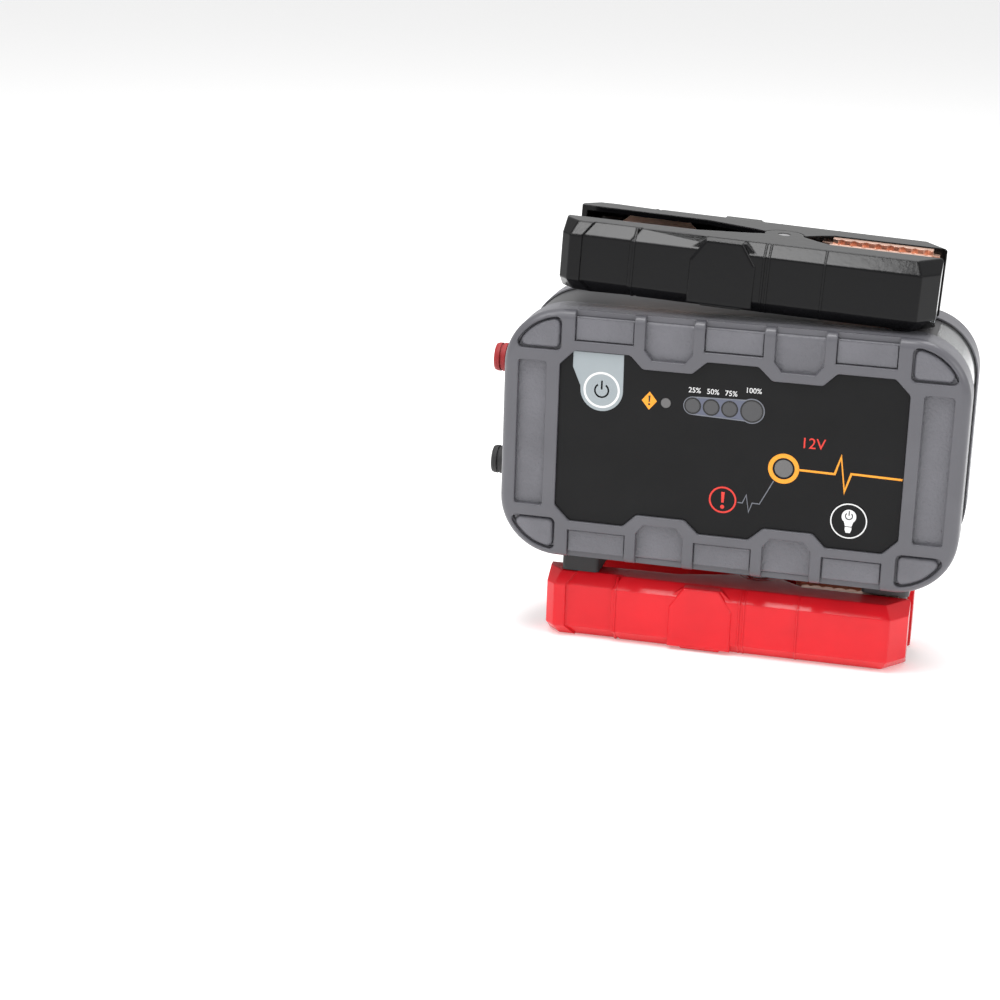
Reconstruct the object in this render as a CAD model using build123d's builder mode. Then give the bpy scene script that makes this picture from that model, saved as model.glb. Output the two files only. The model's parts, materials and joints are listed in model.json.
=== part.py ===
"""Jump starter pack: a ribbed battery housing with two jaw clamps docked above and below it.

Frame: millimetres, +X towards the light end, front face towards -Y, +Z up.
The origin is on the surface that the pack stands on, under the middle of the housing.
"""
import os
from build123d import *

os.makedirs("parts", exist_ok=True)

# ---------------------------------------------------------------- driving dimensions
body_len = 192.0          # housing, along X
body_h = 107.0            # housing, along Z
body_d = 66.0             # housing, along Y, over both bumper frames
corner_r = 25.0           # housing corners, seen from the front
frame_d = 5.0             # depth of a bumper frame
frame_t = 2.5             # how far a bumper frame stands over its shell
edge_r = 3.6              # rounding of the bumper frame's outer edge
band_d = 30.0             # depth of the middle band between the two shells
seal_t = 0.4              # seal between a shell and the band
band_inset = 1.0          # band surface below the shells
wall = 2.5                # housing walls
fit = 0.25                # clearance of a part that moves in a hole
seat = 0.1                # clearance of a part that is pressed or screwed in place

gland_len = 12.0          # lead gland beyond the middle band

clamp_len_jaw = 66.0      # pivot to jaw tip
clamp_len_grip = 88.0     # pivot to handle end
clamp_h = 28.7            # clamp, across the opening direction
clamp_w = 26.0            # half the depth of a docked clamp
clamp_tilt = 2.5          # handle end of the upper clamp raised, degrees
pivot_x = 12.0            # clamp pivot from the middle of the housing
upper_gap = 0.5           # housing to the jaw tip of the upper clamp
lower_gap = 9.5           # housing to the lower clamp

# ---------------------------------------------------------------- derived heights and depths
body_z = clamp_h + lower_gap + body_h / 2
top_z = body_z + body_h / 2
bottom_z = body_z - body_h / 2
front_y = -body_d / 2
frame_back_y = front_y + frame_d
floor_y = front_y + frame_t                 # face of the shell under the frame
shell_back_y = -band_d / 2 - seal_t
inner_y = floor_y + wall                    # inside of the front wall
shell_wall = frame_t + wall                 # side wall behind the frame's outline


def facing(y):
    """Plane at depth y seen from the front: local x is X, local y is up, extrusion is outwards."""
    return Plane(origin=(0, y, body_z), x_dir=(1, 0, 0), z_dir=(0, -1, 0))


def facing_rear(y):
    """The same plane for pieces that are fitted from the rear, extrusion towards +Y."""
    return Plane(origin=(0, y, body_z), x_dir=(-1, 0, 0), z_dir=(0, 1, 0))


# The pieces are drawn about the middle of the housing, then moved so that the origin is
# under the middle of the whole pack, whose left end is the lead glands.
centre = Location(((gland_len - band_inset) / 2, 0, 0))


def save(piece, name, place=None):
    """Label a finished piece and write it as one node."""
    solid = piece.part.moved(centre if place is None else centre * place)
    solid.label = name
    export_step(solid, f"parts/{name}.step")


# ---------------------------------------------------------------- ring of bays round the label
label_x = 72.0            # half width of the label opening
label_z = 37.0            # its half height at the shallow bays
label_z_deep = 31.5       # its half height under the deep bays
rib_1, rib_2, rib_3 = 14.4, 39.0, 68.3      # rib centres, mirrored to both sides
rib_w = 4.6
rail_w = 4.0              # rail between the label and a bay
step_w = 5.5              # run of each slanted step in the label outline
label_corner = 6.3
side_bay_in, side_bay_out = 77.6, 89.6
side_bay_z = 31.3
fan_rim = 2.8             # rim outside the corner bays
corner_cx = body_len / 2 - corner_r
corner_cz = body_h / 2 - corner_r
beyond = 40.0             # a reach past every outside face


def label_outline(grow=0.0):
    """Stepped outline of the label, grown outwards by grow; needs an open sketch."""
    quarter = [
        (rib_1 - step_w + 1.6, label_z), (rib_1 + 2.1, label_z_deep),
        (rib_2 - 2.0, label_z_deep), (rib_2 + step_w - 2.0, label_z),
        (label_x - label_corner, label_z), (label_x, label_z - label_corner),
    ]
    upper = [(-x, z) for x, z in reversed(quarter)] + quarter
    lower = [(x, -z) for x, z in reversed(upper)]
    with BuildSketch(mode=Mode.PRIVATE) as outline:
        with BuildLine():
            Polyline(*upper, *lower, close=True)
        make_face()
        fillet(outline.vertices(), 2.4)
        if grow:
            offset(amount=grow, mode=Mode.REPLACE)
    add(outline.sketch)


def deep_bay(grow=0.0):
    """Two deep bays at the top and two at the bottom, with slanted inner corners."""
    low, high = label_z_deep + rail_w - grow, body_h
    left, right = rib_1 + rib_w / 2 - grow, rib_2 - rib_w / 2 + grow
    slant = 4.0
    with BuildSketch(mode=Mode.PRIVATE) as bay:
        with BuildLine():
            Polyline((left, high), (left, low + slant), (left + slant * 0.8, low),
                     (right - slant * 0.8, low), (right, low + slant), (right, high), close=True)
        make_face()
        mirror(about=Plane.YZ)
        mirror(about=Plane.XZ)
    add(bay.sketch)


def shallow_bay(grow=0.0):
    """Three shallow bays along the top and three along the bottom."""
    low = label_z + rail_w - grow
    tall = body_h - low
    inner_w = 2 * (rib_1 - rib_w / 2 + grow)
    left, right = rib_2 + rib_w / 2 - grow, rib_3 - rib_w / 2 + grow
    with BuildSketch(mode=Mode.PRIVATE) as bay:
        with Locations((0, low + tall / 2)):
            Rectangle(inner_w, tall)
        with Locations(((left + right) / 2, low + tall / 2)):
            Rectangle(right - left, tall)
        mirror(about=Plane.YZ)
        mirror(about=Plane.XZ)
    add(bay.sketch)


def corner_bay(grow=0.0):
    """Quarter fans in the four corners, closed by the outer rim."""
    left = label_x - 0.4 - grow
    low = label_z - 0.6 - grow
    with BuildSketch(mode=Mode.PRIVATE) as bay:
        with Locations((corner_cx, corner_cz)):
            Circle(corner_r - fan_rim + grow)
        with Locations((left + beyond, low + beyond)):
            Rectangle(2 * beyond, 2 * beyond, mode=Mode.INTERSECT)
        fillet(bay.vertices(), 2.4)
        mirror(about=Plane.YZ)
        mirror(about=Plane.XZ)
    add(bay.sketch)


def side_bay(grow=0.0):
    """The upright bay at each end."""
    with BuildSketch(mode=Mode.PRIVATE) as bay:
        with Locations(((side_bay_in + side_bay_out) / 2, 0)):
            RectangleRounded(side_bay_out - side_bay_in + 2 * grow, 2 * (side_bay_z + grow), 1.2 + grow)
        mirror(about=Plane.YZ)
    add(bay.sketch)


# ---------------------------------------------------------------- half housing, front orientation
with BuildPart() as plateau:
    with BuildSketch(facing(frame_back_y)):
        RectangleRounded(body_len - 2 * frame_t, body_h - 2 * frame_t, corner_r - frame_t)
    extrude(amount=frame_d - frame_t)
    fillet(plateau.faces().sort_by(Axis.Y)[0].edges(), 1.6)

with BuildPart() as bumper:
    with BuildSketch(facing(frame_back_y)):
        RectangleRounded(body_len, body_h, corner_r)
    extrude(amount=frame_d)
    fillet(bumper.faces().sort_by(Axis.Y)[0].edges(), edge_r)
    add(plateau.part, mode=Mode.SUBTRACT)
    with BuildSketch(facing(frame_back_y)):
        label_outline()
    extrude(amount=beyond, mode=Mode.SUBTRACT)
    rail_back = 1.4       # rail left behind the open bays
    with BuildSketch(facing(frame_back_y - rail_back)):
        deep_bay()
        shallow_bay()
    extrude(amount=beyond, mode=Mode.SUBTRACT)
    with BuildSketch(facing(floor_y)):
        corner_bay()
        side_bay()
    extrude(amount=beyond, mode=Mode.SUBTRACT)
    rib_faces = bumper.faces().filter_by(Plane.XZ).sort_by(Axis.Y)[0]
    fillet(rib_faces.edges(), 0.5)

pad_t = 1.2               # how far the floors of shallow bays stand up
pad_gap = 0.4
fan_t = 1.9               # dome of a corner fan
fan_gap = 0.8
with BuildPart() as pads:
    with BuildSketch(facing(floor_y)):
        shallow_bay(-pad_gap)
    extrude(amount=pad_t)
    with BuildSketch(facing(floor_y)):
        RectangleRounded(body_len - 2 * frame_t - 1, body_h - 2 * frame_t - 1, corner_r - frame_t - 0.5)
    extrude(amount=pad_t, mode=Mode.INTERSECT)
    fillet(pads.faces().sort_by(Axis.Y)[0].edges(), 0.5)

with BuildPart() as fans:
    with BuildSketch(facing(floor_y)):
        corner_bay(-fan_gap)
    extrude(amount=fan_t)
    fillet(fans.faces().filter_by(Plane.XZ).group_by(Axis.Y)[0].edges(), fan_t - 0.4)

with BuildPart() as half_shell:
    with BuildSketch(facing(shell_back_y)):
        RectangleRounded(body_len, body_h, corner_r)
    extrude(amount=frame_back_y * -1 + shell_back_y)
    add(plateau.part)
    add(pads.part)
    add(fans.part)
    with BuildSketch(facing(shell_back_y)):
        RectangleRounded(body_len - 2 * shell_wall, body_h - 2 * shell_wall, corner_r - shell_wall)
    extrude(amount=shell_back_y - inner_y, mode=Mode.SUBTRACT)

# ---------------------------------------------------------------- screws and bosses
screw_places = [(sx * x, sz * (body_h / 2 - 10.0)) for x in (27.0, 60.0) for sx in (-1, 1) for sz in (-1, 1)]
boss_r = 3.2
screw_r = 1.4
boss_gap = 1.0            # a front boss to its rear boss
front_boss_end = -4.0
head_r, head_t = 2.9, 1.8

# ---------------------------------------------------------------- controls on the front
label_t = 1.2
label_face_y = floor_y - label_t
power_at, power_r = (-54.0, 21.0), 6.6
override_at, override_r = (-1.0, -21.0), 5.4
light_at, light_r = (51.3, -24.5), 7.6
buttons = {"power_button": (power_at, power_r), "override_button": (override_at, override_r),
           "light_button": (light_at, light_r)}
button_travel = 0.8
flange = 1.4              # button flange beyond its cap
lamps = [((-26.9, 18.0), 2.1), ((-15.7, 18.0), 2.9), ((-8.0, 18.0), 2.9), ((-0.4, 18.0), 2.9),
         ((8.8, 18.0), 4.2), ((23.3, -5.0), 3.8)]
board_y = inner_y + 7.5   # front face of the button board
board_t = 1.6
board_size = (144.0, 62.0)
board_screws = [(sx * 66.5, sz * 25.5) for sx in (-1, 1) for sz in (-1, 1)]


def control_holes(clearance):
    """Holes for the buttons and lamps in the label and in the shell under it."""
    for at, radius in buttons.values():
        with Locations(at):
            Circle(radius + clearance)
    for at, radius in lamps:
        with Locations(at):
            Circle(radius + seat)


with BuildPart() as front_shell:
    add(half_shell.part)
    with BuildSketch(facing(inner_y)):
        with Locations(*screw_places):
            Circle(boss_r)
    extrude(amount=inner_y - front_boss_end, mode=Mode.ADD)
    with BuildSketch(facing(inner_y)):
        with Locations(*board_screws):
            Circle(3.0)
    extrude(amount=inner_y - board_y)
    with BuildSketch(facing(front_boss_end)):
        with Locations(*screw_places):
            Circle(screw_r + seat)
    extrude(amount=front_boss_end - inner_y - 3.0, mode=Mode.SUBTRACT)
    with BuildSketch(facing(board_y)):
        with Locations(*board_screws):
            Circle(1.0 + seat)
    extrude(amount=5.0, mode=Mode.SUBTRACT)
    with BuildSketch(facing(inner_y + 1)):
        control_holes(fit)
    extrude(amount=beyond, mode=Mode.SUBTRACT)
save(front_shell, "front_shell")
save(bumper, "front_bumper_frame")

# ---------------------------------------------------------------- rear half of the housing
with BuildPart() as rear_shell:
    add(half_shell.part)
    mirror(about=Plane.XZ, mode=Mode.REPLACE)
    with BuildSketch(facing_rear(-inner_y)):
        with Locations(*screw_places):
            Circle(boss_r)
    extrude(amount=-(-inner_y - front_boss_end - boss_gap))
    with BuildSketch(facing_rear(front_boss_end)):
        with Locations(*screw_places):
            Circle(screw_r + fit)
    extrude(amount=beyond, mode=Mode.SUBTRACT)
    with BuildSketch(facing_rear(-floor_y - head_t)):
        with Locations(*screw_places):
            Circle(head_r + fit)
    extrude(amount=beyond, mode=Mode.SUBTRACT)
save(rear_shell, "rear_shell")

with BuildPart() as rear_bumper:
    add(bumper.part)
    mirror(about=Plane.XZ, mode=Mode.REPLACE)
save(rear_bumper, "rear_bumper_frame")

with BuildPart() as rear_plate:
    with BuildSketch(facing_rear(-floor_y)):
        label_outline(-seat)
    extrude(amount=0.8)
save(rear_plate, "rear_plate")

with BuildPart() as case_screws:
    with BuildSketch(facing_rear(-floor_y - head_t)):
        with Locations(*screw_places):
            Circle(head_r)
    extrude(amount=head_t - 0.1)
    with BuildSketch(facing_rear(-floor_y - head_t)):
        with Locations(*screw_places):
            Circle(screw_r)
    extrude(amount=-(-floor_y - head_t + -inner_y - 4.0))
    with BuildSketch(facing_rear(-floor_y - 1.3)):
        with Locations(*screw_places):
            RegularPolygon(1.5, 6)
    extrude(amount=beyond, mode=Mode.SUBTRACT)
save(case_screws, "case_screws")

with BuildPart() as seals:
    with BuildSketch(facing(shell_back_y + seal_t)):
        RectangleRounded(body_len - 1.2, body_h - 1.2, corner_r - 0.6)
        RectangleRounded(body_len - 2 * wall - 2, body_h - 2 * wall - 2, corner_r - wall - 1, mode=Mode.SUBTRACT)
    extrude(amount=seal_t)
    mirror(about=Plane.XZ)
save(seals, "case_seals")

# ---------------------------------------------------------------- middle band and the light end
lens_x = 79.0             # the band stops here and the lens goes on round the end
band_wall = 3.0
lens_wall = 2.4
gland_z, gland_hole_r = 23.0, 5.4
port_h, port_w = 25.0, 15.0          # port bay opening, along Z and along Y
left_x = -body_len / 2 + band_inset
cover_t = 1.8
cover_gap = 0.3           # cover to band
barrel_r, pin_r = 1.5, 0.8
barrel_w = port_w - 2.0
ear_w = 2.0
hinge_x = left_x - barrel_r - 0.2
hinge_z = port_h / 2 + barrel_r + 0.1
band_outer = (body_len - 2 * band_inset, body_h - 2 * band_inset, corner_r - band_inset)


def band_ring(thickness):
    """Ring of the band's outline, seen from the front; needs an open sketch."""
    length, height, radius = band_outer
    RectangleRounded(length, height, radius)
    RectangleRounded(length - 2 * thickness, height - 2 * thickness, radius - thickness, mode=Mode.SUBTRACT)


def end_plane(x):
    """Plane across the housing's length at x: local x is Y, local y is Z, extrusion towards +X."""
    return Plane(origin=(x, 0, body_z), x_dir=(0, 1, 0), z_dir=(1, 0, 0))


with BuildPart() as band:
    with BuildSketch(facing(band_d / 2)):
        band_ring(band_wall)
        with Locations((lens_x + beyond, 0)):
            Rectangle(2 * beyond, 2 * body_h, mode=Mode.SUBTRACT)
    extrude(amount=band_d)
    with BuildSketch(end_plane(-body_len)):
        with Locations((0, gland_z), (0, -gland_z)):
            Circle(gland_hole_r)
        RectangleRounded(port_w, port_h, 2.0)
    extrude(amount=body_len, mode=Mode.SUBTRACT)
    for side in (-1, 1):
        with BuildSketch(facing(side * (barrel_w / 2 + fit + ear_w / 2) + ear_w / 2)):
            with Locations((hinge_x, hinge_z)):
                Circle(barrel_r)
            with Locations(((hinge_x + left_x + 0.5) / 2, hinge_z)):
                Rectangle(left_x - hinge_x + 0.5, 2 * barrel_r)
            with Locations((hinge_x, hinge_z)):
                Circle(pin_r, mode=Mode.SUBTRACT)
        extrude(amount=ear_w)
save(band, "middle_band")

with BuildPart() as lens:
    with BuildSketch(facing(band_d / 2)):
        band_ring(lens_wall)
        with Locations((lens_x + seat + beyond, 0)):
            Rectangle(2 * beyond, 2 * body_h, mode=Mode.INTERSECT)
    extrude(amount=band_d)
save(lens, "light_lens")

# Reflector: a shallow tray that follows the lens, with two round openings for the emitters.
tray_gap = 5.0            # lens to reflector
tray_wall = 1.2
emitter_z = 15.0
emitter_r = 4.0
tray_x = body_len / 2 - band_inset - lens_wall - tray_gap
with BuildPart() as reflector:
    with BuildSketch(facing(band_d / 2 - 1)):
        length, height, radius = band_outer
        drop = lens_wall + tray_gap
        RectangleRounded(length - 2 * drop, height - 2 * drop, radius - drop)
        grown = drop + tray_wall
        RectangleRounded(length - 2 * grown, height - 2 * grown, radius - grown, mode=Mode.SUBTRACT)
        with Locations((lens_x - 10 + beyond, 0)):
            Rectangle(2 * beyond, 2 * (body_h / 2 - 10.5), mode=Mode.INTERSECT)
    extrude(amount=band_d - 2)
    with BuildSketch(end_plane(tray_x - 5)):
        with Locations((0, emitter_z), (0, -emitter_z)):
            Circle(emitter_r + fit)
    extrude(amount=beyond, mode=Mode.SUBTRACT)
save(reflector, "light_reflector")

led_board_x = tray_x - tray_wall - 3.0
with BuildPart() as led_board:
    with BuildSketch(end_plane(led_board_x - 1.6)):
        Rectangle(18.0, 50.0)
    extrude(amount=1.6)
save(led_board, "light_board")

with BuildPart() as emitters:
    with BuildSketch(end_plane(led_board_x)):
        with Locations((0, emitter_z), (0, -emitter_z)):
            Circle(emitter_r)
    extrude(amount=3.4)
    fillet(emitters.faces().sort_by(Axis.X)[-2:].edges(), 1.2)
save(emitters, "light_emitters")

# ---------------------------------------------------------------- label, buttons and lamps
with BuildPart() as label:
    with BuildSketch(facing(floor_y)):
        label_outline(-seat)
        with BuildSketch(mode=Mode.PRIVATE) as holes:
            control_holes(fit)
        add(holes.sketch, mode=Mode.SUBTRACT)
    extrude(amount=label_t)
save(label, "label_panel")

flange_gap = 0.2
for name, (at, radius) in buttons.items():
    with BuildPart() as cap:
        with BuildSketch(facing(inner_y + flange_gap)):
            with Locations(at):
                Circle(radius)
        extrude(amount=inner_y + flange_gap - label_face_y)
        fillet(cap.faces().sort_by(Axis.Y)[0].edges(), 0.4)
        with BuildSketch(facing(inner_y + flange_gap + 1.0)):
            with Locations(at):
                Circle(radius + flange)
        extrude(amount=1.0)
    save(cap, name)

with BuildPart() as pipes:
    for at, radius in lamps:
        with BuildSketch(facing(inner_y)):
            with Locations(at):
                Circle(radius)
        extrude(amount=inner_y - label_face_y - 0.1)
        with BuildSketch(facing(board_y - 2.2)):
            with Locations(at):
                Circle(radius * 0.7)
        extrude(amount=board_y - 2.2 - inner_y)
save(pipes, "indicator_lamps")

with BuildPart() as button_board:
    with BuildSketch(facing(board_y + board_t)):
        RectangleRounded(*board_size, 2.0)
        with Locations(*board_screws):
            Circle(1.3, mode=Mode.SUBTRACT)
    extrude(amount=board_t)
save(button_board, "button_board")

with BuildPart() as switches:
    switch_top = inner_y + flange_gap + 1.0 + button_travel + 0.4
    with BuildSketch(facing(board_y)):
        with Locations(*[at for at, radius in buttons.values()]):
            Rectangle(6.0, 6.0)
    extrude(amount=3.4)
    with BuildSketch(facing(board_y)):
        with Locations(*[at for at, radius in buttons.values()]):
            Circle(1.7)
    extrude(amount=board_y - switch_top)
save(switches, "button_switches")

with BuildPart() as chips:
    with BuildSketch(facing(board_y)):
        with Locations(*[at for at, radius in lamps]):
            Rectangle(3.0, 2.0)
    extrude(amount=1.2)
save(chips, "indicator_leds")

with BuildPart() as board_fixings:
    with BuildSketch(facing(board_y + board_t)):
        with Locations(*board_screws):
            Circle(1.0)
    extrude(amount=board_t + 4.6)
    with BuildSketch(facing(board_y + board_t + 1.4)):
        with Locations(*board_screws):
            Circle(2.1)
    extrude(amount=1.4)
save(board_fixings, "board_screws")

# ---------------------------------------------------------------- power electronics and cells
control_y = board_y + board_t + 7.5
with BuildPart() as control_board:
    with BuildSketch(facing(control_y + board_t)):
        RectangleRounded(132.0, 74.0, 2.0)
    extrude(amount=board_t)
save(control_board, "control_board")

with BuildPart() as relay:
    with BuildSketch(facing(control_y)):
        with Locations((-38, 6)):
            RectangleRounded(26.0, 22.0, 1.0)
    extrude(amount=6.5)
save(relay, "power_relay")

with BuildPart() as components:
    with BuildSketch(facing(control_y)):
        with Locations((0, 18), (22, 18), (44, 18)):
            Rectangle(12.0, 10.0)
        with Locations((0, -16), (18, -16), (36, -16)):
            Circle(5.0)
    extrude(amount=5.5)
save(components, "board_components")

cell_t, cell_gap, cell_count = 7.6, 0.3, 4
cell_size = (126.0, 68.0)
tray_y = control_y + board_t + 2.0
tray_w = 1.6
stack_t = cell_count * cell_t + (cell_count - 1) * cell_gap
with BuildPart() as cells:
    for n in range(cell_count):
        with BuildSketch(facing(tray_y + (n + 1) * cell_t + n * cell_gap)):
            RectangleRounded(*cell_size, 3.0)
        extrude(amount=cell_t)
save(cells, "battery_cells")

with BuildPart() as cell_tray:
    with BuildSketch(facing(tray_y + stack_t + seat + tray_w)):
        Rectangle(cell_size[0] + 2 * (tray_w + seat), cell_size[1] + 2 * (tray_w + seat))
    extrude(amount=stack_t + seat + tray_w)
    with BuildSketch(facing(tray_y + stack_t + seat)):
        Rectangle(cell_size[0] + 2 * seat, cell_size[1] + 2 * seat)
    extrude(amount=beyond * 2, mode=Mode.SUBTRACT)
save(cell_tray, "cell_tray")

# Busbars run from the board's output end to the lead glands at the left end.
for name, side in (("positive_busbar", 1), ("negative_busbar", -1)):
    with BuildPart() as busbar:
        with BuildSketch(Plane.XY.offset(body_z + side * gland_z - 5.0)):
            with BuildLine():
                Polyline((-50, control_y - 1.5), (-72, control_y - 1.5), (-72, 0), (-82, 0))
            trace(line_width=1.5)
        extrude(amount=10.0)
    save(busbar, name)

# ---------------------------------------------------------------- left end: ports and lead glands
port_floor_x = left_x + 4.5
with BuildPart() as port_block:
    with BuildSketch(end_plane(port_floor_x)):
        Rectangle(port_w + 3.0, port_h + 3.0)
    extrude(amount=9.0)
    with BuildSketch(end_plane(left_x + band_wall)):
        Rectangle(port_w + 3.0, port_h + 3.0)
        RectangleRounded(port_w - 0.4, port_h - 0.4, 1.8, mode=Mode.SUBTRACT)
    extrude(amount=4.5 - band_wall)
    with BuildSketch(end_plane(port_floor_x)):
        with Locations((0, 7.0)):
            Circle(4.0)
        with Locations((0, -2.2)):
            Rectangle(13.0, 5.6)
        with Locations((0, -9.4)):
            RectangleRounded(8.4, 3.0, 1.0)
    extrude(amount=9.0, mode=Mode.SUBTRACT)
save(port_block, "port_block")

with BuildPart() as jack:
    with BuildSketch(end_plane(port_floor_x + 1.0)):
        with Locations((0, 7.0)):
            Circle(4.0 - seat)
            Circle(3.0, mode=Mode.SUBTRACT)
    extrude(amount=8.0)
    with BuildSketch(end_plane(port_floor_x + 7.5)):
        with Locations((0, 7.0)):
            Circle(3.0)
    extrude(amount=1.5)
    with BuildSketch(end_plane(port_floor_x + 3.0)):
        with Locations((0, 7.0)):
            Circle(0.8)
    extrude(amount=6.0)
save(jack, "dc_socket")

with BuildPart() as usb_out:
    with BuildSketch(end_plane(port_floor_x + 0.5)):
        with Locations((0, -2.2)):
            Rectangle(13.0 - 2 * seat, 5.6 - 2 * seat)
            Rectangle(12.2, 4.6, mode=Mode.SUBTRACT)
    extrude(amount=8.4)
    with BuildSketch(end_plane(port_floor_x + 8.0)):
        with Locations((0, -2.2)):
            Rectangle(12.4, 4.8)
    extrude(amount=0.9)
    with BuildSketch(end_plane(port_floor_x + 1.5)):
        with Locations((0, -1.3)):
            Rectangle(11.0, 1.8)
    extrude(amount=7.0)
save(usb_out, "usb_out_socket")

with BuildPart() as usb_in:
    with BuildSketch(end_plane(port_floor_x + 0.5)):
        with Locations((0, -9.4)):
            RectangleRounded(8.4 - 2 * seat, 3.0 - 2 * seat, 0.9)
            RectangleRounded(7.4, 2.0, 0.6, mode=Mode.SUBTRACT)
    extrude(amount=8.4)
    with BuildSketch(end_plane(port_floor_x + 7.5)):
        with Locations((0, -9.4)):
            RectangleRounded(7.6, 2.2, 0.6)
    extrude(amount=1.4)
save(usb_in, "usb_in_socket")

# Cover: a flap over the port bay, hinged along its upper edge on a pin held by two ears.
with BuildPart() as cover:
    with BuildSketch(facing(barrel_w / 2)):
        with Locations((hinge_x, hinge_z)):
            Circle(barrel_r)
    extrude(amount=barrel_w)
    with BuildSketch(end_plane(left_x - cover_gap - cover_t)):
        with Locations((0, hinge_z / 2)):
            Rectangle(barrel_w, hinge_z)
        with Locations((0, -1.2)):
            RectangleRounded(port_w + 4.0, port_h + 0.4, 2.0)
    extrude(amount=cover_t)
    with BuildSketch(facing(port_w)):
        with Locations((hinge_x, hinge_z)):
            Circle(pin_r + 0.05)
    extrude(amount=2 * port_w, mode=Mode.SUBTRACT)
    with BuildSketch(end_plane(left_x - cover_gap)):
        RectangleRounded(port_w - 2.4, port_h - 3.4, 1.6)
        RectangleRounded(port_w - 4.8, port_h - 5.8, 1.0, mode=Mode.SUBTRACT)
    extrude(amount=1.8)
save(cover, "port_cover")

with BuildPart() as cover_pin:
    with BuildSketch(facing(barrel_w / 2 + fit + ear_w)):
        with Locations((hinge_x, hinge_z)):
            Circle(pin_r)
    extrude(amount=barrel_w + 2 * (fit + ear_w))
save(cover_pin, "port_cover_pin")

lead_r = 4.5              # bore for the clamp lead
for name, side in (("positive_gland", 1), ("negative_gland", -1)):
    with BuildPart() as gland:
        with BuildSketch(Plane(origin=(left_x, 0, body_z + side * gland_z), x_dir=(-1, 0, 0), z_dir=(0, 1, 0))):
            with BuildLine():
                Polyline((gland_len, lead_r), (gland_len, lead_r + 1.2), (gland_len - 1.0, lead_r + 1.6),
                         (2.2, 6.3), (2.2, 7.0), (0.1, 7.0), (0.1, gland_hole_r - seat),
                         (-band_wall - 0.1, gland_hole_r - seat), (-band_wall - 0.1, 6.6),
                         (-band_wall - 1.6, 6.6), (-band_wall - 1.6, lead_r), close=True)
            make_face()
        revolve(axis=Axis((left_x, 0, body_z + side * gland_z), (1, 0, 0)))
        for n in range(3):
            ring_x = left_x - 4.4 - 2.6 * n
            with BuildSketch(end_plane(ring_x)):
                with Locations((0, side * gland_z)):
                    Circle(8.0)
                    Circle(lead_r + 0.9, mode=Mode.SUBTRACT)
            extrude(amount=1.0, mode=Mode.SUBTRACT)
    save(gland, name)

# ---------------------------------------------------------------- docking posts for the clamps
post_from, post_to = 60.0, 76.0      # along X
post_base, post_tip = 4.0, 3.0       # half thickness along Y
post_h = 20.0
spacer_w = 11.0
rest_x, rest_len, rest_w = -62.0, 16.0, 44.0     # pad over the handles of the lower clamp
rest_gap = 0.4
post_foot = 2.6                      # the upper post runs down into the middle band
for name, side, lift in (("upper_dock_post", 1, 0.0), ("lower_dock_post", -1, lower_gap)):
    root = body_z + side * (body_h / 2 - band_inset)
    with BuildPart() as post:
        with BuildSketch(Plane(origin=(0, 0, root + side * lift), x_dir=(1, 0, 0), z_dir=(0, 0, side))):
            with Locations(((post_from + post_to) / 2, 0)):
                Rectangle(post_to - post_from, 2 * post_base)
        with BuildSketch(Plane(origin=(0, 0, root + side * (lift + post_h)), x_dir=(1, 0, 0), z_dir=(0, 0, side))):
            with Locations(((post_from + post_to) / 2 + 0.5, 0)):
                Rectangle(post_to - post_from - 5.0, 2 * post_tip)
        loft()
        if lift == 0.0:
            with BuildSketch(Plane(origin=(0, 0, root - post_foot), x_dir=(1, 0, 0), z_dir=(0, 0, 1))):
                with Locations(((post_from + post_to) / 2, 0)):
                    Rectangle(post_to - post_from, 2 * post_base)
            extrude(amount=post_foot)
            with BuildSketch(facing(band_d)):
                length, height, radius = band_outer
                RectangleRounded(length, height, radius)
            extrude(amount=2 * band_d, mode=Mode.SUBTRACT)
    save(post, name)

with BuildPart() as spacer:
    with BuildSketch(Plane.XY.offset(bottom_z - lower_gap + band_inset)):
        with Locations(((post_from + post_to) / 2 - 1.0, 0)):
            RectangleRounded(post_to - post_from + 4.0, 2 * spacer_w, 2.0)
    extrude(amount=lower_gap + 3.0)
    with BuildSketch(facing(band_d)):
        length, height, radius = band_outer
        RectangleRounded(length, height, radius)
    extrude(amount=2 * band_d, mode=Mode.SUBTRACT)
save(spacer, "lower_dock_block")

with BuildPart() as rests:
    with BuildSketch(Plane.XY.offset(bottom_z - lower_gap + rest_gap)):
        with Locations((rest_x, 0)):
            RectangleRounded(rest_len, rest_w, 2.0)
    extrude(amount=lower_gap - rest_gap - seat)
    with BuildSketch(Plane.XY.offset(bottom_z - seat)):
        with Locations((rest_x, 0)):
            Rectangle(rest_len, band_d - 2 * seat)
    extrude(amount=seat + band_inset)
save(rests, "lower_rest_pad")

# ---------------------------------------------------------------- jaw clamps
# A clamp is drawn about its pivot: +X to the jaw tips, Z = 0 on the face towards the housing.
# The half drawn here is the front one, on the -Y side; the rear one is its mirror image.
clamp_chamfer = 5.0
clamp_wall = 2.2
side_wall = 2.4
jaw_mouth = 10.0          # plastic rim of a docked jaw from the middle plane
grip_mouth = 12.5         # the same at the handle end
hub_r = 8.0
hub_gap = 0.4
lug_t = 2.2
pivot_pin_r = 2.5
jaw_gap = 4.4             # copper rim from the middle plane when docked
jaw_t = 1.4               # copper sheet
jaw_depth = 10.6
jaw_from = 15.0
jaw_slant = 5.6           # corner of the jaw liner that clears the bevelled tip
lug_y = clamp_w - 8.4     # lead and lug from the middle plane
tooth_pitch, tooth_deep = 5.0, 2.2
arch_from, arch_to = -34.0, -7.0
recess_from, recess_to = -79.0, -59.0
recess_t = 1.2
spring_r, spring_wire, spring_turns = 5.0, 0.8, 5


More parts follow.
